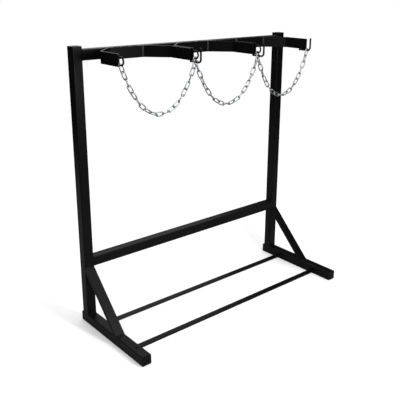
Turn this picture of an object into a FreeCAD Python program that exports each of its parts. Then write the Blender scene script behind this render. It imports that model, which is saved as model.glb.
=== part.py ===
import FreeCAD, Part
import math
import os

from FreeCAD import Vector

# Gas cylinder stand for three cylinders, in millimetres.
# X runs along the stand, the open front faces -Y, and Z points up from the floor.
# The origin lies on the floor, under the middle of the stand's box.

# Square tube of the frame
TUBE = 38.0
TUBE_WALL = 3.0
TUBE_CORNER = 4.0

# Overall frame
CLEAR_WIDTH = 962.0
FOOT_LENGTH = 404.0
FOOT_REAR_OVERHANG = 8.0
UPRIGHT_TOP = 1050.0
TOP_RAIL_DROP = 8.0
MID_RAIL_BOTTOM = 234.0
CAP_THICK = 3.0
CAP_CORNER = 4.0

# Anchor hole through each foot
ANCHOR_HOLE = 10.0
ANCHOR_SETBACK = 62.0

# Diagonal braces, flat bar at 45 degrees
BRACE_WIDTH = 38.0
BRACE_THICK = 12.0
BRACE_EDGE = 1.0
BRACE_TOP = 236.0

# Flat floor bars, placed by the distance of their centre lines from the uprights' front
BAR_WIDTH = 25.0
BAR_THICK = 5.0
REAR_BAR_AHEAD = 42.0
FRONT_BAR_AHEAD = 254.0

# Cradles, one bent flat bar for each cylinder
CRADLES = 3
CRADLE_WIDTH = 300.0
CRADLE_BACK = 149.0
CRADLE_REACH = 186.0
CRADLE_HEIGHT = 42.0
PLATE = 6.0
PLATE_BEND = 9.0
ARM_GAP = 7.6

# Facets of the round bars that eyes and hooks are bent from
BAR_SIDES = 12
BEND_CHORDS = 4

# Closed eyes on the left arms
EYE_ROD = 6.0
EYE_HEIGHT = 27.0
EYE_REACH = 26.0
EYE_BELOW_TOP = 9.0

# Open hooks under the right arms
HOOK_ROD = 7.0
HOOK_BEND = 12.0
HOOK_LENGTH = 58.0
HOOK_TIP_RISE = 4.0
HOOK_CHAMFER = 1.0
INNER_HOOK_REACH = 53.0
END_HOOK_REACH = 20.0
LUG_LENGTH = 7.0
LUG_RISE = 4.5
INNER_HOOK_OFFSET = 3.0

# Chain links and where the chains sit on the rods, ahead of the arms' ends
LINK_WIRE = 4.0
LINK_INNER_LENGTH = 27.0
LINK_INNER_WIDTH = 9.0
LINK_CLEARANCE = 1.2
SEAT_CLEARANCE = 0.6
LINKS = 19
HALF_TURNS = (6, -7, -7)
LINK_SIDES = 6
LINK_CHORDS = 5
EYE_SEAT_AHEAD = 8.0
INNER_HOOK_SEAT_AHEAD = 23.0
END_HOOK_SEAT_AHEAD = 4.5

# Places that follow from the sizes above
FOOT_REAR = FOOT_LENGTH / 2 + CAP_THICK
UPRIGHT_FRONT = FOOT_REAR - FOOT_REAR_OVERHANG - TUBE
UPRIGHT_X = (CLEAR_WIDTH + TUBE) / 2
CRADLE_PITCH = CRADLE_WIDTH + ARM_GAP
TOP_RAIL_TOP = UPRIGHT_TOP - TOP_RAIL_DROP
CRADLE_BOTTOM = TOP_RAIL_TOP - CRADLE_HEIGHT
ARM_END = UPRIGHT_FRONT - CRADLE_REACH
EYE_TOP_Z = TOP_RAIL_TOP - EYE_BELOW_TOP
EYE_SEAT_Z = EYE_TOP_Z - EYE_HEIGHT
HOOK_SEAT_Z = CRADLE_BOTTOM - HOOK_ROD / 2
SIDES = {"left": -1, "right": 1}
BAYS = ("left", "middle", "right")


def export(name, shape):
    """Writes one named piece."""
    shape.exportStep("parts/" + name + ".step")


def rounded_rectangle(width, depth, corner, z):
    """Closed wire of a rounded rectangle about the Z axis, at height z."""
    x = width / 2
    y = depth / 2
    r = corner
    k = r * (1 - math.sqrt(0.5))
    corners = (
        (Vector(x, y - r, z), Vector(x - k, y - k, z), Vector(x - r, y, z)),
        (Vector(-x + r, y, z), Vector(-x + k, y - k, z), Vector(-x, y - r, z)),
        (Vector(-x, -y + r, z), Vector(-x + k, -y + k, z), Vector(-x + r, -y, z)),
        (Vector(x - r, -y, z), Vector(x - k, -y + k, z), Vector(x, -y + r, z)),
    )
    edges = []
    for index, (start, middle, end) in enumerate(corners):
        following = corners[(index + 1) % len(corners)][0]
        edges.append(Part.Arc(start, middle, end).toShape())
        edges.append(Part.LineSegment(end, following).toShape())
    return Part.Wire(edges)


def square_tube(length):
    """Hollow square tube that stands on the XY plane."""
    inner_corner = max(TUBE_CORNER - TUBE_WALL, TUBE_WALL / 4)
    inner = TUBE - 2 * TUBE_WALL
    outline = Part.Face(rounded_rectangle(TUBE, TUBE, TUBE_CORNER, 0))
    bore = Part.Face(rounded_rectangle(inner, inner, inner_corner, 0))
    return outline.cut(bore).extrude(Vector(0, 0, length)).Solids[0]


def end_cap():
    """Flat plate that closes a tube's end, lying on the XY plane."""
    outline = Part.Face(rounded_rectangle(TUBE, TUBE, CAP_CORNER, 0))
    return outline.extrude(Vector(0, 0, CAP_THICK))


def turned(shape, axis, degrees, place):
    """Copy of a shape, turned about an axis through the origin and then moved."""
    result = shape.copy()
    result.rotate(Vector(0, 0, 0), axis, degrees)
    result.translate(place)
    return result


def rail(bottom):
    """Square tube between the uprights, flush with their front."""
    place = Vector(-CLEAR_WIDTH / 2, UPRIGHT_FRONT + TUBE / 2, bottom + TUBE / 2)
    return turned(square_tube(CLEAR_WIDTH), Vector(0, 1, 0), 90, place)


def upright(side):
    """Post that stands on a foot's top face."""
    place = Vector(side * UPRIGHT_X, UPRIGHT_FRONT + TUBE / 2, TUBE)
    return turned(square_tube(UPRIGHT_TOP - TUBE), Vector(0, 0, 1), 0, place)


def upright_cap(side):
    """Plate on top of an upright."""
    place = Vector(side * UPRIGHT_X, UPRIGHT_FRONT + TUBE / 2, UPRIGHT_TOP)
    return turned(end_cap(), Vector(0, 0, 1), 0, place)


def foot(side):
    """Foot tube along Y, with the anchor hole through its top and bottom walls."""
    place = Vector(side * UPRIGHT_X, FOOT_LENGTH / 2, TUBE / 2)
    tube = turned(square_tube(FOOT_LENGTH), Vector(1, 0, 0), 90, place)
    hole_y = ANCHOR_SETBACK - FOOT_LENGTH / 2 - CAP_THICK
    hole = Part.makeCylinder(ANCHOR_HOLE / 2, TUBE * 2, Vector(side * UPRIGHT_X, hole_y, -TUBE / 2))
    return tube.cut(hole).Solids[0]


def foot_cap(side, end):
    """Plate that closes a foot at its front (end -1) or its rear (end 1)."""
    place = Vector(side * UPRIGHT_X, end * FOOT_LENGTH / 2, TUBE / 2)
    return turned(end_cap(), Vector(1, 0, 0), -90 * end, place)


def brace(side):
    """Flat bar at 45 degrees, cut to seat on the upright's front and the foot's top."""
    run = BRACE_TOP - TUBE
    drop = BRACE_THICK * math.sqrt(2)
    corners = (
        Vector(0, UPRIGHT_FRONT, BRACE_TOP),
        Vector(0, UPRIGHT_FRONT, BRACE_TOP - drop),
        Vector(0, UPRIGHT_FRONT - run + drop, TUBE),
        Vector(0, UPRIGHT_FRONT - run, TUBE),
    )
    profile = Part.Face(Part.makePolygon(corners + corners[:1]))
    bar = profile.extrude(Vector(BRACE_WIDTH, 0, 0))
    long_edges = [edge for edge in bar.Edges if edge.Length > run and edge.BoundBox.XLength < BRACE_EDGE]
    bar = bar.makeChamfer(BRACE_EDGE, long_edges)
    bar.translate(Vector(side * UPRIGHT_X - BRACE_WIDTH / 2, 0, 0))
    return bar


def floor_bar(ahead):
    """Flat bar on the floor between the feet, its centre line ahead of the uprights."""
    corner = Vector(-CLEAR_WIDTH / 2, UPRIGHT_FRONT - ahead - BAR_WIDTH / 2, 0)
    return Part.makeBox(CLEAR_WIDTH, BAR_WIDTH, BAR_THICK, corner)


def bent_path(corners, radius):
    """Open wire through corners, with a tangent arc of one radius at each inner corner."""
    edges = []
    start = corners[0]
    for before, corner, after in zip(corners, corners[1:], corners[2:]):
        back = (before - corner).normalize()
        forth = (after - corner).normalize()
        half_opening = back.getAngle(forth) / 2
        cut = radius / math.tan(half_opening)
        middle = corner + (back + forth).normalize() * (radius / math.sin(half_opening) - radius)
        arc_start = corner + back * cut
        arc_end = corner + forth * cut
        edges.append(Part.LineSegment(start, arc_start).toShape())
        edges.append(Part.Arc(arc_start, middle, arc_end).toShape())
        start = arc_end
    edges.append(Part.LineSegment(start, corners[-1]).toShape())
    return Part.Wire(edges)


def cradle(centre_x):
    """Flat bar on edge, bent four times to hold one cylinder against the rail."""
    arm = (CRADLE_WIDTH - PLATE) / 2
    back = CRADLE_BACK / 2
    rear = UPRIGHT_FRONT - PLATE / 2
    bend_y = rear - (arm - back)
    level = CRADLE_BOTTOM
    corners = [
        Vector(centre_x - arm, ARM_END, level),
        Vector(centre_x - arm, bend_y, level),
        Vector(centre_x - back, rear, level),
        Vector(centre_x + back, rear, level),
        Vector(centre_x + arm, bend_y, level),
        Vector(centre_x + arm, ARM_END, level),
    ]
    path = bent_path(corners, PLATE_BEND + PLATE / 2)
    left = corners[0].x - PLATE / 2
    section = Part.makePolygon([
        Vector(left, ARM_END, level),
        Vector(left + PLATE, ARM_END, level),
        Vector(left + PLATE, ARM_END, level + CRADLE_HEIGHT),
        Vector(left, ARM_END, level + CRADLE_HEIGHT),
        Vector(left, ARM_END, level),
    ])
    return path.makePipeShell([section], True, True)


def quarter_bend(centre, start, end):
    """Points of a quarter turn about a centre, as chords from one arm's end to the other's."""
    points = []
    for chord in range(BEND_CHORDS + 1):
        angle = math.pi / 2 * chord / BEND_CHORDS
        points.append(centre + start * math.cos(angle) + end * math.sin(angle))
    return points


def faceted_wire(points, normal, diameter, sides, closed):
    """Round wire of flat facets along points in one plane, mitred at each point.

    The normal is the plane's unit normal. One corner line of the wire lies along it.
    """
    count = len(points)
    rings = []
    for index, point in enumerate(points):
        into = (point - points[index - 1]).normalize()
        out = (points[(index + 1) % count] - point).normalize()
        if not closed and index == 0:
            into = out
        if not closed and index == count - 1:
            out = into
        across = normal.cross((into + out).normalize())
        stretch = 1 / math.cos(into.getAngle(out) / 2)
        ring = []
        for side in range(sides):
            angle = math.pi / 2 + 2 * math.pi * side / sides
            sideways = across * (stretch * math.cos(angle))
            ring.append(point + (sideways + normal * math.sin(angle)) * (diameter / 2))
        rings.append(ring)
    outlines = []
    stretches = zip(rings, rings[1:] + rings[:1]) if closed else zip(rings, rings[1:])
    for here, following in stretches:
        for side in range(sides):
            onward = (side + 1) % sides
            outlines.append([here[side], here[onward], following[onward], following[side]])
    if not closed:
        outlines += [rings[0][::-1], rings[-1]]
    faces = [Part.Face(Part.makePolygon(outline + outline[:1])) for outline in outlines]
    return Part.Solid(Part.Shell(faces))


def eye(arm_x):
    """Closed staple of round bar, both legs butted on the front end of a left arm."""
    turn = EYE_HEIGHT / 2
    centre = Vector(arm_x, ARM_END - EYE_REACH + turn, EYE_SEAT_Z + turn)
    ahead = Vector(0, -turn, 0)
    up = Vector(0, 0, turn)
    points = [Vector(arm_x, ARM_END, EYE_SEAT_Z)]
    points += quarter_bend(centre, -up, ahead)
    points += quarter_bend(centre, ahead, up)[1:]
    points.append(Vector(arm_x, ARM_END, EYE_TOP_Z))
    return faceted_wire(points, Vector(1, 0, 0), EYE_ROD, BAR_SIDES, False)


def hook(hook_x, reach):
    """Open hook of round bar: a shank along Y, a bend and an upright leg."""
    leg_y = ARM_END - reach
    centre = Vector(hook_x, leg_y + HOOK_BEND, HOOK_SEAT_Z + HOOK_BEND)
    tip = Vector(hook_x, leg_y, TOP_RAIL_TOP + HOOK_TIP_RISE)
    points = [Vector(hook_x, leg_y + HOOK_LENGTH, HOOK_SEAT_Z)]
    points += quarter_bend(centre, Vector(0, 0, -HOOK_BEND), Vector(0, -HOOK_BEND, 0))
    points.append(tip)
    bar = faceted_wire(points, Vector(1, 0, 0), HOOK_ROD, BAR_SIDES, False)
    tip_edges = [edge for edge in bar.Edges if edge.BoundBox.ZMin > tip.z - HOOK_CHAMFER / 10]
    return bar.makeChamfer(HOOK_CHAMFER, tip_edges)


def hook_lug(gap_x):
    """Weld metal above a shank, in the gap between two neighbouring arms."""
    sunk = HOOK_ROD / 4
    corner = Vector(gap_x - ARM_GAP / 2, ARM_END, CRADLE_BOTTOM - sunk)
    return Part.makeBox(ARM_GAP, LUG_LENGTH, sunk + LUG_RISE, corner)


def slopes(first, last, lengths):
    """Slope angle of each link of a hanging chain.

    Every link weighs the same, so the tangents of the slopes rise by equal steps.
    """
    span = math.hypot(last.x - first.x, last.y - first.y)
    rise = last.z - first.z
    middle = (LINKS - 1) / 2
    step = 0.4
    shift = 0.0
    for _ in range(200):
        angles = [math.atan((index - middle) * step + shift) for index in range(LINKS)]
        reached = sum(length * math.cos(angle) for length, angle in zip(lengths, angles))
        climbed = sum(length * math.sin(angle) for length, angle in zip(lengths, angles))
        step *= (reached / span) ** 0.5
        shift += (rise - climbed) / sum(lengths)
    return angles


def chain_link():
    """Welded oval link about the origin, long along X and wide along Y."""
    turn = (LINK_INNER_WIDTH + LINK_WIRE) / 2
    straight = (LINK_INNER_LENGTH + LINK_WIRE) / 2 - turn
    points = []
    for end in (1, -1):
        for chord in range(LINK_CHORDS + 1):
            angle = math.pi * (chord / LINK_CHORDS - 0.5)
            points.append(Vector(end * (straight + turn * math.cos(angle)), end * turn * math.sin(angle), 0))
    return faceted_wire(points, Vector(0, 0, 1), LINK_WIRE, LINK_SIDES, True)


def chain(eye_x, hook_x, hook_seat_ahead, half_turns):
    """Links hanging from an eye's lower leg to a hook's shank.

    The chain is twisted by whole half turns, so that both end links lie across their rods.
    """
    first = Vector(eye_x, ARM_END - EYE_SEAT_AHEAD, EYE_SEAT_Z)
    last = Vector(hook_x, ARM_END - hook_seat_ahead, HOOK_SEAT_Z)
    pitch = LINK_INNER_LENGTH - LINK_CLEARANCE
    half_opening = LINK_INNER_LENGTH / 2
    lengths = [pitch] * LINKS
    lengths[0] = pitch / 2 + half_opening - EYE_ROD / 2 - SEAT_CLEARANCE
    lengths[-1] = pitch / 2 + half_opening - HOOK_ROD / 2 - SEAT_CLEARANCE
    angles = slopes(first, last, lengths)
    heading = math.degrees(math.atan2(last.y - first.y, last.x - first.x))
    level = Vector(math.cos(math.radians(heading)), math.sin(math.radians(heading)), 0)
    template = chain_link()
    roll = 180 * half_turns / (LINKS - 1)
    joint = first
    links = []
    for index, (length, angle) in enumerate(zip(lengths, angles)):
        direction = level * math.cos(angle) + Vector(0, 0, math.sin(angle))
        following = joint + direction * length
        centre = following - direction * (pitch / 2)
        if index == LINKS - 1:
            centre = joint + direction * (pitch / 2)
        link = template.copy()
        link.rotate(Vector(0, 0, 0), Vector(1, 0, 0), 90 + roll * index)
        link.rotate(Vector(0, 0, 0), Vector(0, 1, 0), -math.degrees(angle))
        link.rotate(Vector(0, 0, 0), Vector(0, 0, 1), heading)
        link.translate(centre)
        links.append(link)
        joint = following
    return Part.makeCompound(links)


def cradle_centre(bay):
    """Middle of one bay along X."""
    return (bay - (CRADLES - 1) / 2) * CRADLE_PITCH


def build():
    """Builds and writes every piece of the stand."""
    for name, side in SIDES.items():
        export(name + "_upright", upright(side))
        export(name + "_upright_cap", upright_cap(side))
        export(name + "_foot", foot(side))
        export(name + "_foot_front_cap", foot_cap(side, -1))
        export(name + "_foot_rear_cap", foot_cap(side, 1))
        export(name + "_brace", brace(side))
    export("top_rail", rail(TOP_RAIL_TOP - TUBE))
    export("mid_rail", rail(MID_RAIL_BOTTOM))
    export("rear_floor_bar", floor_bar(REAR_BAR_AHEAD))
    export("front_floor_bar", floor_bar(FRONT_BAR_AHEAD))
    arm = (CRADLE_WIDTH - PLATE) / 2
    for bay, name in enumerate(BAYS):
        centre = cradle_centre(bay)
        eye_x = centre - arm
        export(name + "_cradle", cradle(centre))
        export(name + "_chain_eye", eye(eye_x))
        if bay < CRADLES - 1:
            gap_x = centre + CRADLE_PITCH / 2
            hook_x = gap_x - INNER_HOOK_OFFSET
            piece = hook(hook_x, INNER_HOOK_REACH).fuse(hook_lug(gap_x)).Solids[0]
            export(name + "_chain_hook", piece)
            export(name + "_chain", chain(eye_x, hook_x, INNER_HOOK_SEAT_AHEAD, HALF_TURNS[bay]))
        else:
            hook_x = centre + arm
            export(name + "_chain_hook", hook(hook_x, END_HOOK_REACH))
            export(name + "_chain", chain(eye_x, hook_x, END_HOOK_SEAT_AHEAD, HALF_TURNS[bay]))


os.makedirs("parts", exist_ok=True)
build()
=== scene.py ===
import logging
import math
from dataclasses import dataclass, field
from enum import Enum

import bmesh
import bpy
import numpy
from mathutils import Matrix, Vector


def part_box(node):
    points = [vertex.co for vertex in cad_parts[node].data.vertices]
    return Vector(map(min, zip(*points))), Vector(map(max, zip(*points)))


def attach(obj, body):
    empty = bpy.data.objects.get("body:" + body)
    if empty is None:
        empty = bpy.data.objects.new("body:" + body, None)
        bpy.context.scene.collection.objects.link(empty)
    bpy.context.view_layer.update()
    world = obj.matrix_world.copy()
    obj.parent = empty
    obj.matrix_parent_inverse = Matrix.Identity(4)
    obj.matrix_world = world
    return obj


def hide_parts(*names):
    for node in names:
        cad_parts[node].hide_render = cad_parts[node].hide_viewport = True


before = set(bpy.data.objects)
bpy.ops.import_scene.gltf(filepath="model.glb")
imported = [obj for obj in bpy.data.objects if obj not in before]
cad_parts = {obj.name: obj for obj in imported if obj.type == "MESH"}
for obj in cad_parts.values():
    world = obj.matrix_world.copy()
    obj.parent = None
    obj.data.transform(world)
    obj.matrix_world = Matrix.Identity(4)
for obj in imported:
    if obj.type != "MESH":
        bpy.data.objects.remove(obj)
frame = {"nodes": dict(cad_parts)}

LOG = logging.getLogger("cylinder_stand")
MM = 0.001
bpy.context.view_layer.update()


class Bay(Enum):
    """The stand's cylinder bays, from left to right."""

    LEFT = "left"
    MIDDLE = "middle"
    RIGHT = "right"


class Side(Enum):
    """The stand's two ends, with the sign of their X."""

    LEFT = ("left", -1)
    RIGHT = ("right", 1)


def linear(code: str) -> tuple[float, float, float, float]:
    """Turns an sRGB hex colour into linear light.

    Args:
        code: The colour, such as "#1B1B1C".

    Returns:
        Linear red, green and blue, and an alpha of 1.
    """
    values = [int(code[start:start + 2], 16) / 255 for start in (1, 3, 5)]
    red, green, blue = (
        value / 12.92 if value <= 0.04045 else ((value + 0.055) / 1.055) ** 2.4 for value in values
    )
    return (red, green, blue, 1.0)


def add_node(
    tree: bpy.types.NodeTree, kind: str, settings: dict[str, object] | None = None, **links: object
) -> bpy.types.Node:
    """Adds a shader node with its settings and links.

    Args:
        tree: The node tree that takes the node.
        kind: Blender's name of the node's type.
        settings: Node properties, or input values under the input's name.
        links: Output sockets by input name, with spaces written as underscores.

    Returns:
        The new node.
    """
    node = tree.nodes.new(kind)
    for key, value in (settings or {}).items():
        if key in node.inputs:
            node.inputs[key].default_value = value
        else:
            setattr(node, key, value)
    for key, socket in links.items():
        tree.links.new(socket, node.inputs[key.replace("_", " ")])
    return node


@dataclass(frozen=True)
class PowderCoat:
    """Black polyester powder coat, baked on steel.

    The eye gets a deep, even black with a soft sheen that brightens at grazing angles,
    and a fine orange-peel skin that breaks up the long highlights.
    """

    name: str = "powder_coat_black"
    colour: str = "#070707"
    roughness: float = 0.33
    specular: float = 0.18
    peel_size: float = 2.2 * MM
    peel_depth: float = 0.05 * MM

    def material(self) -> bpy.types.Material:
        """Builds the material.

        Returns:
            The powder coat.
        """
        material = bpy.data.materials.new(self.name)
        material.use_nodes = True
        tree = material.node_tree
        shader = tree.nodes["Principled BSDF"]
        shader.inputs["Base Color"].default_value = linear(self.colour)
        shader.inputs["Roughness"].default_value = self.roughness
        shader.inputs["Specular IOR Level"].default_value = self.specular
        place = add_node(tree, "ShaderNodeTexCoord")
        peel = add_node(
            tree,
            "ShaderNodeTexNoise",
            {"Scale": 1 / self.peel_size, "Detail": 2.0, "Roughness": 0.4},
            Vector=place.outputs["Object"],
        )
        bump = add_node(
            tree,
            "ShaderNodeBump",
            {"Strength": 0.35, "Distance": self.peel_depth},
            Height=peel.outputs["Fac"],
        )
        tree.links.new(bump.outputs["Normal"], shader.inputs["Normal"])
        return material


@dataclass(frozen=True)
class CapPlastic:
    """Black moulded polyethylene of the push-in tube caps.

    The eye gets a slightly softer, greyer black than the coat, with no peel.
    """

    name: str = "cap_polyethylene_black"
    colour: str = "#090909"
    roughness: float = 0.42
    specular: float = 0.18
    grain: float = 0.8 * MM

    def material(self) -> bpy.types.Material:
        """Builds the material.

        Returns:
            The cap plastic.
        """
        material = bpy.data.materials.new(self.name)
        material.use_nodes = True
        tree = material.node_tree
        shader = tree.nodes["Principled BSDF"]
        shader.inputs["Base Color"].default_value = linear(self.colour)
        shader.inputs["Roughness"].default_value = self.roughness
        shader.inputs["Specular IOR Level"].default_value = self.specular
        place = add_node(tree, "ShaderNodeTexCoord")
        grain = add_node(
            tree,
            "ShaderNodeTexNoise",
            {"Scale": 1 / self.grain, "Detail": 1.0},
            Vector=place.outputs["Object"],
        )
        bump = add_node(
            tree, "ShaderNodeBump", {"Strength": 0.2, "Distance": 0.03 * MM}, Height=grain.outputs["Fac"]
        )
        tree.links.new(bump.outputs["Normal"], shader.inputs["Normal"])
        return material


@dataclass(frozen=True)
class ZincPlate:
    """Bright zinc electroplate on welded steel chain.

    The eye gets a light, slightly cool metal with a soft tumbled gloss that varies from link
    to link.
    """

    name: str = "zinc_plate_tumbled"
    colour: str = "#C4C6C8"
    dull: str = "#9A9C9E"
    roughness: float = 0.42
    patch: float = 14 * MM

    def material(self) -> bpy.types.Material:
        """Builds the material.

        Returns:
            The zinc plate.
        """
        material = bpy.data.materials.new(self.name)
        material.use_nodes = True
        tree = material.node_tree
        shader = tree.nodes["Principled BSDF"]
        shader.inputs["Metallic"].default_value = 1.0
        shader.inputs["Roughness"].default_value = self.roughness
        place = add_node(tree, "ShaderNodeTexCoord")
        patches = add_node(
            tree,
            "ShaderNodeTexNoise",
            {"Scale": 1 / self.patch, "Detail": 3.0},
            Vector=place.outputs["Object"],
        )
        tone = add_node(tree, "ShaderNodeValToRGB", None, Fac=patches.outputs["Fac"])
        tone.color_ramp.elements[0].position = 0.35
        tone.color_ramp.elements[0].color = linear(self.dull)
        tone.color_ramp.elements[1].position = 0.65
        tone.color_ramp.elements[1].color = linear(self.colour)
        tree.links.new(tone.outputs["Color"], shader.inputs["Base Color"])
        return material


def finished(
    name: str, shape: bmesh.types.BMesh, coat: bpy.types.Material, body: str
) -> bpy.types.Object:
    """Turns a bmesh into a finished piece that rides on a body.

    Args:
        name: The piece's name.
        shape: The piece's geometry in the stand's frame. It is freed here.
        coat: The piece's material.
        body: The CAD body that carries the piece.

    Returns:
        The new object.
    """
    bmesh.ops.remove_doubles(shape, verts=shape.verts[:], dist=0.01 * MM)
    bmesh.ops.recalc_face_normals(shape, faces=shape.faces[:])
    mesh = bpy.data.meshes.new(name)
    shape.to_mesh(mesh)
    shape.free()
    mesh.polygons.foreach_set("use_smooth", [True] * len(mesh.polygons))
    mesh.materials.append(coat)
    piece = bpy.data.objects.new(name, mesh)
    bpy.context.scene.collection.objects.link(piece)
    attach(piece, body)
    return piece


class BarRun:
    """A length of bar drawn out from one closed section, straight by straight and bend by bend."""

    def __init__(
        self, shape: bmesh.types.BMesh, ring: list[bmesh.types.BMEdge], centre: Vector, heading: Vector
    ) -> None:
        """Takes the starting section.

        Args:
            shape: The mesh that the bar grows in.
            ring: The edges of the starting section.
            centre: The section's middle.
            heading: The direction in which the bar grows.
        """
        self.shape = shape
        self.ring = ring
        self.centre = centre.copy()
        self.heading = heading.normalized()

    @classmethod
    def rounded(
        cls,
        shape: bmesh.types.BMesh,
        diameter: float,
        centre: Vector,
        heading: Vector,
        sides: int,
        cap: bool = True,
    ) -> "BarRun":
        """Starts a round bar.

        Args:
            shape: The mesh that the bar grows in.
            diameter: The bar's diameter.
            centre: Where the bar starts.
            heading: The direction in which it grows.
            sides: The number of points round the bar.
            cap: Whether the start is closed.

        Returns:
            The started bar.
        """
        place = Matrix.Translation(centre) @ heading.to_track_quat("Z", "Y").to_matrix().to_4x4()
        known = set(shape.edges)
        bmesh.ops.create_circle(shape, cap_ends=cap, segments=sides, radius=diameter / 2, matrix=place)
        return cls(shape, [edge for edge in shape.edges if edge not in known], centre, heading)

    @classmethod
    def flat(
        cls, shape: bmesh.types.BMesh, thick: float, high: float, centre: Vector, heading: Vector
    ) -> "BarRun":
        """Starts a flat bar that stands on edge.

        Args:
            shape: The mesh that the bar grows in.
            thick: The bar's thickness.
            high: The bar's height along Z.
            centre: Where the bar starts.
            heading: The level direction in which it grows.

        Returns:
            The started bar.
        """
        up = Vector((0.0, 0.0, 1.0))
        across = up.cross(heading).normalized()
        turn = Matrix((across * thick, up * high, heading)).transposed().to_4x4()
        known = set(shape.edges)
        bmesh.ops.create_grid(
            shape, x_segments=1, y_segments=1, size=0.5, matrix=Matrix.Translation(centre) @ turn
        )
        return cls(shape, [edge for edge in shape.edges if edge not in known], centre, heading)

    def straight(self, length: float, swell: float = 1.0) -> "BarRun":
        """Draws the bar straight on.

        Args:
            length: The distance.
            swell: The factor by which the section grows on the way.

        Returns:
            The same bar.
        """
        grown = bmesh.ops.extrude_edge_only(self.shape, edges=self.ring)["geom"]
        points = [item for item in grown if isinstance(item, bmesh.types.BMVert)]
        fresh = set(points)
        edges = [item for item in grown if isinstance(item, bmesh.types.BMEdge)]
        self.ring = [edge for edge in edges if set(edge.verts) <= fresh]
        self.centre += self.heading * length
        bmesh.ops.translate(self.shape, verts=points, vec=self.heading * length)
        if swell != 1.0:
            around = Matrix.Translation(-self.centre)
            bmesh.ops.scale(self.shape, verts=points, vec=(swell, swell, swell), space=around)
        return self

    def bend(self, axis: Vector, radius: float, degrees: float, steps: int) -> "BarRun":
        """Bends the bar about an axis, to the left of the heading as seen down the axis.

        Args:
            axis: The bend's unit axis.
            radius: The centre line's radius.
            degrees: The angle.
            steps: The number of steps.

        Returns:
            The same bar.
        """
        pivot = self.centre + axis.cross(self.heading) * radius
        points = list({point for edge in self.ring for point in edge.verts})
        last = bmesh.ops.spin(
            self.shape,
            geom=points + self.ring,
            cent=pivot,
            axis=axis,
            angle=math.radians(degrees),
            steps=steps,
            use_merge=False,
            use_duplicate=False,
        )["geom_last"]
        self.ring = [item for item in last if isinstance(item, bmesh.types.BMEdge)]
        turn = Matrix.Rotation(math.radians(degrees), 3, axis)
        self.centre = pivot + turn @ (self.centre - pivot)
        self.heading = turn @ self.heading
        return self

    def close(self) -> None:
        """Closes the bar's end with a flat face."""
        bmesh.ops.contextual_create(self.shape, geom=self.ring)


@dataclass(frozen=True)
class WeldBead:
    """Hand-laid weld metal that ripples once for each pool."""

    width: float = 4.6 * MM
    ripple: float = 2.2 * MM
    rise: float = 1.1
    sides: int = 10

    def lay(self, shape: bmesh.types.BMesh, start: Vector, end: Vector) -> None:
        """Lays one bead.

        Args:
            shape: The mesh that takes the bead.
            start: Where the bead starts.
            end: Where the bead ends.
        """
        length = (end - start).length
        pools = max(2, round(length / self.ripple))
        step = length / (2 * pools)
        run = BarRun.rounded(shape, self.width / 2, start, end - start, self.sides)
        run.straight(step / 2, 1.6)
        run.straight(step / 2, 2 / 1.6)
        for _ in range(pools - 1):
            run.straight(step, 1 / self.rise)
            run.straight(step, self.rise)
        run.straight(step / 2, 1.6 / 2)
        run.straight(step / 2, 1 / 1.6)
        run.close()

    def ring(self, shape: bmesh.types.BMesh, centre: Vector, axis: Vector, radius: float) -> None:
        """Lays a bead round a bar.

        Args:
            shape: The mesh that takes the bead.
            centre: The bar's middle where it meets the plate.
            axis: The bar's unit direction.
            radius: The bar's radius.
        """
        side = axis.orthogonal().normalized()
        start = centre + side * radius
        run = BarRun.rounded(shape, self.width, start, axis.cross(side), self.sides, cap=False)
        run.bend(axis, radius, 360, 24)


def crisp(piece: bpy.types.Object, edge: float = 0.0, angle: float = 35.0) -> None:
    """Keeps flat faces flat and edges crisp, and shades the round corners smoothly.

    Args:
        piece: The object to shade.
        edge: The width by which square edges are softened, or 0.
        angle: Edges that turn by more than this many degrees stay sharp.
    """
    weld = piece.modifiers.new("join_points", "WELD")
    weld.merge_threshold = 0.005 * MM
    if edge > 0:
        soft = piece.modifiers.new("soft_edges", "BEVEL")
        soft.width = edge
        soft.segments = 3
        soft.limit_method = "ANGLE"
        soft.angle_limit = math.radians(50)
        soft.use_clamp_overlap = True
    split = piece.modifiers.new("sharp_edges", "EDGE_SPLIT")
    split.split_angle = math.radians(angle)
    normals = piece.modifiers.new("flat_faces", "WEIGHTED_NORMAL")
    normals.weight = 100


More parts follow.
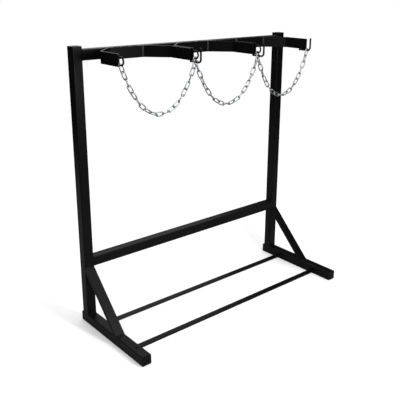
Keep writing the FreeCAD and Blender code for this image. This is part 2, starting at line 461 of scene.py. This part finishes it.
@dataclass
class TubeFrame:
    """Uprights, feet, rails, braces and floor bars of welded steel, with their caps."""

    coat: bpy.types.Material
    cap: bpy.types.Material
    tubes: tuple[str, ...] = ("upright", "foot")
    rails: tuple[str, ...] = ("top_rail", "mid_rail")
    floor_bars: tuple[str, ...] = ("rear_floor_bar", "front_floor_bar")
    caps: tuple[str, ...] = ("upright_cap", "foot_front_cap", "foot_rear_cap")
    cap_edge: float = 1.0 * MM
    bar_edge: float = 0.7 * MM
    corner: float = 4.0 * MM
    sunk: float = 1.5 * MM
    bead: WeldBead = WeldBead()

    def dress(self, nodes: dict[str, bpy.types.Object]) -> int:
        """Gives each of the frame's CAD nodes its finish.

        Args:
            nodes: The CAD nodes by name.

        Returns:
            The number of nodes dressed.
        """
        plan = [(name, self.coat, 0.0) for name in self.rails]
        plan += [(name, self.coat, self.bar_edge) for name in self.floor_bars]
        for side in Side:
            prefix = side.value[0]
            plan += [(f"{prefix}_{tube}", self.coat, 0.0) for tube in self.tubes]
            plan += [(f"{prefix}_{cap}", self.cap, self.cap_edge) for cap in self.caps]
            plan.append((f"{prefix}_brace", self.coat, 0.0))
        for name, finish, edge in plan:
            node = nodes[name]
            node.data.materials.clear()
            node.data.materials.append(finish)
            node.data.polygons.foreach_set("use_smooth", [True] * len(node.data.polygons))
            crisp(node, edge)
        return len(plan)

    def weld(self, side: Side) -> bpy.types.Object:
        """Lays the beads of one end of the stand.

        Args:
            side: The stand's end.

        Returns:
            The beads as one piece.
        """
        prefix, sign = side.value
        shape = bmesh.new()
        post_low, post_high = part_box(f"{prefix}_upright")
        inner = post_high.x if sign < 0 else post_low.x
        outer = post_low.x if sign < 0 else post_high.x
        self.weld_post(shape, post_low, post_high, inner + sign * self.sunk, outer - sign * self.sunk)
        for rail in self.rails:
            self.weld_rail(shape, rail, inner)
        self.weld_brace(shape, f"{prefix}_brace")
        for bar in self.floor_bars:
            low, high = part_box(bar)
            start = Vector((inner, low.y + self.sunk, high.z))
            self.bead.lay(shape, start, Vector((inner, high.y - self.sunk, high.z)))
        return finished(f"{prefix}_frame_welds", shape, self.coat, "stand")

    def weld_post(
        self, shape: bmesh.types.BMesh, low: Vector, high: Vector, inner: float, outer: float
    ) -> None:
        """Lays the beads round the foot of a post."""
        for y in (low.y, high.y):
            start = Vector((low.x + self.corner, y, low.z))
            self.bead.lay(shape, start, Vector((high.x - self.corner, y, low.z)))
        for x in (inner, outer):
            start = Vector((x, low.y + self.corner, low.z))
            self.bead.lay(shape, start, Vector((x, high.y - self.corner, low.z)))

    def weld_rail(self, shape: bmesh.types.BMesh, rail: str, x: float) -> None:
        """Lays the beads round one end of a rail."""
        low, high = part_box(rail)
        for z in (low.z, high.z):
            start = Vector((x, low.y + self.corner, z))
            self.bead.lay(shape, start, Vector((x, high.y - self.corner, z)))
        for y in (low.y + self.sunk, high.y - self.sunk):
            start = Vector((x, y, low.z + self.corner))
            self.bead.lay(shape, start, Vector((x, y, high.z - self.corner)))

    def weld_brace(self, shape: bmesh.types.BMesh, brace: str) -> None:
        """Lays the beads across both ends of a brace, above and below it."""
        low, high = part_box(brace)
        inset = self.sunk * 1.5
        thick = 12.0 * MM * math.sqrt(2)
        for y, z in ((high.y, high.z), (high.y, high.z - thick), (low.y, low.z), (low.y + thick, low.z)):
            self.bead.lay(shape, Vector((low.x + inset, y, z)), Vector((high.x - inset, y, z)))


@dataclass
class Cradle:
    """One flat bar bent four times on edge, stitched to the top rail."""

    coat: bpy.types.Material
    plate: float = 6.0 * MM
    bend_radius: float = 18.0 * MM
    back: float = 149.0 * MM
    edge: float = 0.8 * MM
    stitch: float = 26.0 * MM
    stitches: int = 3
    bead: WeldBead = WeldBead(width=4.4 * MM)

    def build(self, bay: Bay) -> bpy.types.Object:
        """Bends one cradle and lays its stitches.

        Args:
            bay: The cylinder bay.

        Returns:
            The cradle.
        """
        node = f"{bay.value}_cradle"
        low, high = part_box(node)
        down = Vector((0.0, 0.0, -1.0))
        spread = (high.x - low.x - self.plate - self.back) / 2
        cut = self.bend_radius * math.tan(math.radians(22.5))
        arm = high.y - self.plate / 2 - spread - low.y
        start = Vector((low.x + self.plate / 2, low.y, (low.z + high.z) / 2))
        shape = bmesh.new()
        run = BarRun.flat(shape, self.plate, high.z - low.z, start, Vector((0.0, 1.0, 0.0)))
        run.straight(arm - cut).bend(down, self.bend_radius, 45, 8)
        run.straight(spread * math.sqrt(2) - 2 * cut).bend(down, self.bend_radius, 45, 8)
        run.straight(self.back - 2 * cut).bend(down, self.bend_radius, 45, 8)
        run.straight(spread * math.sqrt(2) - 2 * cut).bend(down, self.bend_radius, 45, 8)
        run.straight(arm - cut).close()
        bmesh.ops.recalc_face_normals(shape, faces=shape.faces[:])
        square = [edge for edge in shape.edges if edge.calc_face_angle(0.0) > math.radians(50)]
        bmesh.ops.bevel(
            shape, geom=square, offset=self.edge, affect="EDGES", segments=3, profile=0.5, material=-1
        )
        self.lay_stitches(shape, (low.x + high.x) / 2, high.y)
        piece = finished(f"{node}_bar", shape, self.coat, "stand")
        crisp(piece)
        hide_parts(node)
        return piece

    def lay_stitches(self, shape: bmesh.types.BMesh, middle: float, back_y: float) -> None:
        """Lays short beads between the cradle's back and the rail, above and below."""
        rail_low, rail_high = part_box("top_rail")
        pitch = (self.back - 2 * self.bend_radius) / self.stitches
        for number in range(self.stitches):
            start = middle + (number - (self.stitches - 1) / 2) * pitch - self.stitch / 2
            for z in (rail_high.z - 0.9 * MM, rail_low.z + 0.4 * MM):
                here = Vector((start, back_y + 1.3 * MM, z))
                self.bead.lay(shape, here, here + Vector((self.stitch, 0.0, 0.0)))


@dataclass
class ChainRods:
    """Closed eyes on the left arms and open hooks under the right arms, bent from round bar."""

    coat: bpy.types.Material
    eye_rod: float = 6.0 * MM
    hook_rod: float = 7.0 * MM
    hook_bend: float = 12.0 * MM
    tip_round: float = 1.0 * MM
    lug: float = 8.6 * MM
    sides: int = 20
    bead: WeldBead = WeldBead(width=2.4 * MM, ripple=1.6 * MM)

    def eye(self, bay: Bay) -> bpy.types.Object:
        """Bends one closed eye and lays a bead round each leg.

        Args:
            bay: The cylinder bay.

        Returns:
            The eye.
        """
        node = f"{bay.value}_chain_eye"
        low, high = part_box(node)
        turn = (high.z - low.z - self.eye_rod) / 2
        x = (low.x + high.x) / 2
        foot = Vector((x, high.y, low.z + self.eye_rod / 2))
        ahead = Vector((0.0, -1.0, 0.0))
        leg = high.y - low.y - self.eye_rod / 2 - turn
        shape = bmesh.new()
        run = BarRun.rounded(shape, self.eye_rod, foot, ahead, self.sides)
        run.straight(leg).bend(Vector((-1.0, 0.0, 0.0)), turn, 180, 20).straight(leg).close()
        for z in (foot.z, foot.z + 2 * turn):
            self.bead.ring(shape, Vector((x, high.y, z)), ahead, self.eye_rod / 2)
        piece = finished(f"{node}_rod", shape, self.coat, "stand")
        crisp(piece, angle=50.0)
        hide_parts(node)
        return piece

    def hook(self, bay: Bay) -> bpy.types.Object:
        """Bends one open hook and lays its weld under the arms.

        Args:
            bay: The cylinder bay.

        Returns:
            The hook.
        """
        node = f"{bay.value}_chain_hook"
        low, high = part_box(node)
        arm_low, arm_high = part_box(f"{bay.value}_cradle")
        x = low.x + self.hook_rod / 2
        level = low.z + self.hook_rod / 2
        leg_y = low.y + self.hook_rod / 2
        inner = high.x - low.x > self.hook_rod * 1.2
        back = leg_y + 58.0 * MM
        shape = bmesh.new()
        foot, forward = Vector((x, back, level)), Vector((0.0, -1.0, 0.0))
        run = BarRun.rounded(shape, self.hook_rod, foot, forward, self.sides)
        run.straight(back - leg_y - self.hook_bend).bend(Vector((-1.0, 0.0, 0.0)), self.hook_bend, 90, 12)
        run.straight(high.z - self.tip_round - level - self.hook_bend)
        run.straight(self.tip_round * 0.6, 0.9).straight(self.tip_round * 0.4, 0.8).close()
        if inner:
            gap = high.x - 3.8 * MM
            blob = WeldBead(width=self.lug, ripple=3.0 * MM, rise=1.06, sides=16)
            start = Vector((gap, arm_low.y + 3.0 * MM, low.z + self.hook_rod * 0.6))
            blob.lay(shape, start, start + Vector((0.0, 0.0, 9.0 * MM)))
        else:
            for sideways in (-2.7 * MM, 2.7 * MM):
                start = Vector((x + sideways, arm_low.y + 2.0 * MM, arm_low.z - 0.6 * MM))
                self.bead.lay(shape, start, Vector((start.x, back - 2.0 * MM, start.z)))
        piece = finished(f"{node}_rod", shape, self.coat, "stand")
        crisp(piece, angle=50.0)
        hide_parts(node)
        return piece


@dataclass
class WeldedChain:
    """Short-link chain of round wire, with a butt weld on one flank of each link."""

    zinc: bpy.types.Material
    wire: float = 4.0 * MM
    inner_length: float = 27.0 * MM
    inner_width: float = 9.0 * MM
    sides: int = 14
    turn_steps: int = 12
    weld_swell: float = 1.1

    def link(self) -> bpy.types.Mesh:
        """Bends and butt-welds one link about the origin, long along X and wide along Y.

        Returns:
            The link's mesh.
        """
        turn = (self.inner_width + self.wire) / 2
        flank = self.inner_length + self.wire - 2 * turn
        up = Vector((0.0, 0.0, 1.0))
        shape = bmesh.new()
        start = Vector((-flank / 2, -turn, 0.0))
        run = BarRun.rounded(shape, self.wire, start, Vector((1.0, 0.0, 0.0)), self.sides, cap=False)
        run.straight(flank / 2 - 1.8 * MM).straight(0.9 * MM, self.weld_swell).straight(1.8 * MM)
        run.straight(0.9 * MM, 1 / self.weld_swell).straight(flank / 2 - 1.8 * MM)
        run.bend(up, turn, 180, self.turn_steps).straight(flank).bend(up, turn, 180, self.turn_steps)
        bmesh.ops.remove_doubles(shape, verts=shape.verts[:], dist=0.01 * MM)
        mesh = bpy.data.meshes.new("chain_link_master")
        shape.to_mesh(mesh)
        shape.free()
        return mesh

    def places(self, node: bpy.types.Object) -> list[Matrix]:
        """Finds where each link of a CAD chain lies.

        Args:
            node: The chain's CAD node.

        Returns:
            A placement for each link, with the link's length along X and its width along Y.
        """
        shape = bmesh.new()
        shape.from_mesh(node.data)
        bmesh.ops.transform(shape, matrix=node.matrix_world, verts=shape.verts[:])
        bmesh.ops.remove_doubles(shape, verts=shape.verts[:], dist=0.005 * MM)
        waiting = set(shape.verts)
        found = []
        while waiting:
            island = []
            edge_of_search = [waiting.pop()]
            while edge_of_search:
                point = edge_of_search.pop()
                island.append(point.co[:])
                near = {edge.other_vert(point) for edge in point.link_edges} & waiting
                waiting -= near
                edge_of_search += near
            found.append(self.place(numpy.array(island)))
        shape.free()
        return found

    @staticmethod
    def place(points: numpy.ndarray) -> Matrix:
        """Fits a link's middle and directions to its points."""
        middle = points.mean(axis=0)
        _, axes = numpy.linalg.eigh(numpy.cov((points - middle).T))
        long_axis = Vector(axes[:, 2])
        wide_axis = Vector(axes[:, 1])
        if long_axis.x < 0:
            long_axis.negate()
        if wide_axis.y < 0:
            wide_axis.negate()
        turn = Matrix((long_axis, wide_axis, long_axis.cross(wide_axis))).transposed().to_4x4()
        return Matrix.Translation(Vector(middle)) @ turn

    def build(self, bay: Bay, nodes: dict[str, bpy.types.Object]) -> bpy.types.Object:
        """Hangs one chain.

        Args:
            bay: The cylinder bay.
            nodes: The CAD nodes by name.

        Returns:
            The chain.
        """
        name = f"{bay.value}_chain"
        link = self.link()
        shape = bmesh.new()
        for place in self.places(nodes[name]):
            before = len(shape.verts)
            shape.from_mesh(link)
            shape.verts.ensure_lookup_table()
            bmesh.ops.transform(shape, matrix=place, verts=shape.verts[before:])
        bpy.data.meshes.remove(link)
        piece = finished(f"{name}_links", shape, self.zinc, f"{name}_body")
        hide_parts(name)
        return piece


@dataclass
class Stage:
    """Pale floor, white surround, soft lamps and the camera at the photograph's angle."""

    camera_place: Vector = field(default_factory=lambda: Vector((-1519.4, -1712.9, 1263.4)) * MM)
    heading: float = 40.58
    pitch: float = -17.64
    roll: float = 0.39
    focal_pixels: float = 609.9
    frame_pixels: float = 400.0
    centre_pixels: tuple[float, float] = (208.05, 175.71)
    sensor: float = 36.0
    white: str = "#FFFFFF"
    black: str = "#080808"
    grey: str = "#8C8C8C"

    def build(self) -> None:
        """Builds everything around the stand."""
        self.floor()
        self.surround()
        self.flag("front_flag", Vector((0.0, -1.5, 1.2)), Vector((0.0, 1.0, 0.0)), 5.0, 2.4, self.black)
        self.flag("left_flag", Vector((-1.7, 0.4, 1.2)), Vector((1.0, 0.0, 0.0)), 4.4, 2.4, self.black)
        self.flag("back_flag", Vector((0.0, 2.2, 0.6)), Vector((0.0, -1.0, 0.0)), 5.0, 1.2, self.black)
        self.flag("right_flag", Vector((2.3, 0.4, 1.2)), Vector((-1.0, 0.0, 0.0)), 4.4, 2.4, self.black)
        self.flag("grey_mat", Vector((0.3, 0.4, 0.002)), Vector((0.0, 0.0, 1.0)), 4.0, 4.0, self.grey)
        self.strip("bend_strip", Vector((-0.05, -1.25, 1.25)), Vector((0.0, 0.15, 1.02)), 0.14, 0.9, 15.0)
        self.strip("top_soft", Vector((-0.6, 0.9, 3.0)), Vector((0.0, 0.1, 0.5)), 2.2, 2.2, 5.0)
        self.camera()
        bpy.context.scene.view_settings.view_transform = "Standard"

    def floor(self) -> bpy.types.Object:
        """Lays a white floor that keeps the stand's soft shadow.

        Returns:
            The floor.
        """
        material = bpy.data.materials.new("floor_white_vinyl")
        material.use_nodes = True
        shader = material.node_tree.nodes["Principled BSDF"]
        shader.inputs["Base Color"].default_value = linear(self.white)
        shader.inputs["Roughness"].default_value = 1.0
        shader.inputs["Specular IOR Level"].default_value = 0.0
        return self.sheet("floor", Matrix.Identity(4), 60.0, 60.0, material)

    def sheet(
        self, name: str, place: Matrix, width: float, height: float, material: bpy.types.Material
    ) -> bpy.types.Object:
        """Adds one flat sheet of the studio.

        Args:
            name: The sheet's name.
            place: Where it lies, with its face along Z.
            width: Its size along its X.
            height: Its size along its Y.
            material: Its material.

        Returns:
            The sheet.
        """
        shape = bmesh.new()
        bmesh.ops.create_grid(shape, x_segments=1, y_segments=1, size=0.5)
        bmesh.ops.scale(shape, verts=shape.verts[:], vec=(width, height, 1.0))
        mesh = bpy.data.meshes.new(name)
        shape.to_mesh(mesh)
        shape.free()
        mesh.materials.append(material)
        sheet = bpy.data.objects.new(name, mesh)
        sheet.matrix_world = place
        bpy.context.scene.collection.objects.link(sheet)
        return sheet

    def flag(
        self, name: str, centre: Vector, facing: Vector, width: float, height: float, colour: str
    ) -> bpy.types.Object:
        """Stands a dark sheet that only reflections see, as the dark end of a studio.

        Args:
            name: The flag's name.
            centre: Its middle.
            facing: The direction that it faces.
            width: Its width.
            height: Its height.
            colour: Its cloth's colour.

        Returns:
            The flag.
        """
        material = bpy.data.materials.new(f"{name}_cloth")
        material.use_nodes = True
        shader = material.node_tree.nodes["Principled BSDF"]
        shader.inputs["Base Color"].default_value = linear(colour)
        shader.inputs["Roughness"].default_value = 1.0
        place = Matrix.Translation(centre) @ facing.to_track_quat("Z", "Y").to_matrix().to_4x4()
        flag = self.sheet(name, place, width, height, material)
        flag.visible_camera = False
        flag.visible_diffuse = False
        flag.visible_shadow = False
        return flag

    def surround(self) -> None:
        """Sets the even white surround."""
        world = bpy.data.worlds.new("studio")
        bpy.context.scene.world = world
        world.use_nodes = True
        tree = world.node_tree
        background = tree.nodes["Background"]
        background.inputs["Color"].default_value = linear(self.white)
        background.inputs["Strength"].default_value = 1.0

    def strip(
        self, name: str, place: Vector, target: Vector, width: float, height: float, power: float
    ) -> None:
        """Hangs one soft lamp.

        Args:
            name: The lamp's name.
            place: Its middle.
            target: The point that it faces.
            width: Its width.
            height: Its height.
            power: Its power in watts.
        """
        light = bpy.data.lights.new(name, "AREA")
        light.shape = "RECTANGLE"
        light.energy = power
        light.size = width
        light.size_y = height
        lamp = bpy.data.objects.new(name, light)
        lamp.location = place
        lamp.rotation_euler = (target - place).to_track_quat("-Z", "Y").to_euler()
        bpy.context.scene.collection.objects.link(lamp)

    def camera(self) -> bpy.types.Object:
        """Places the camera as fitted to the photograph.

        Returns:
            The camera.
        """
        heading = math.radians(self.heading)
        pitch = math.radians(self.pitch)
        roll = math.radians(self.roll)
        level = math.cos(pitch)
        ahead = Vector((math.sin(heading) * level, math.cos(heading) * level, math.sin(pitch)))
        right = Vector((math.cos(heading), -math.sin(heading), 0.0))
        up = right.cross(ahead)
        rolled_right = right * math.cos(roll) + up * math.sin(roll)
        rolled_up = up * math.cos(roll) - right * math.sin(roll)
        data = bpy.data.cameras.new("camera")
        data.sensor_width = self.sensor
        data.lens = self.focal_pixels * self.sensor / self.frame_pixels
        half = self.frame_pixels / 2
        data.shift_x = (half - self.centre_pixels[0]) / self.frame_pixels
        data.shift_y = (self.centre_pixels[1] - half) / self.frame_pixels
        data.clip_start = 0.05
        camera = bpy.data.objects.new("camera", data)
        turn = Matrix((rolled_right, rolled_up, -ahead)).transposed().to_4x4()
        camera.matrix_world = Matrix.Translation(self.camera_place) @ turn
        bpy.context.scene.collection.objects.link(camera)
        bpy.context.scene.camera = camera
        return camera


def main() -> None:
    """Builds the stand's looks in order and reports each piece."""
    logging.basicConfig(level=logging.INFO, format="%(message)s")
    nodes = frame["nodes"]
    coat = PowderCoat().material()
    frame_of_tube = TubeFrame(coat, CapPlastic().material())
    LOG.info("frame: %d nodes dressed", frame_of_tube.dress(nodes))
    for side in Side:
        LOG.info("made %s", frame_of_tube.weld(side).name)
    cradle = Cradle(coat)
    rods = ChainRods(coat)
    chain = WeldedChain(ZincPlate().material())
    for bay in Bay:
        for piece in (cradle.build(bay), rods.eye(bay), rods.hook(bay), chain.build(bay, nodes)):
            LOG.info("made %s", piece.name)
    Stage().build()


if __name__ == "__main__":
    main()
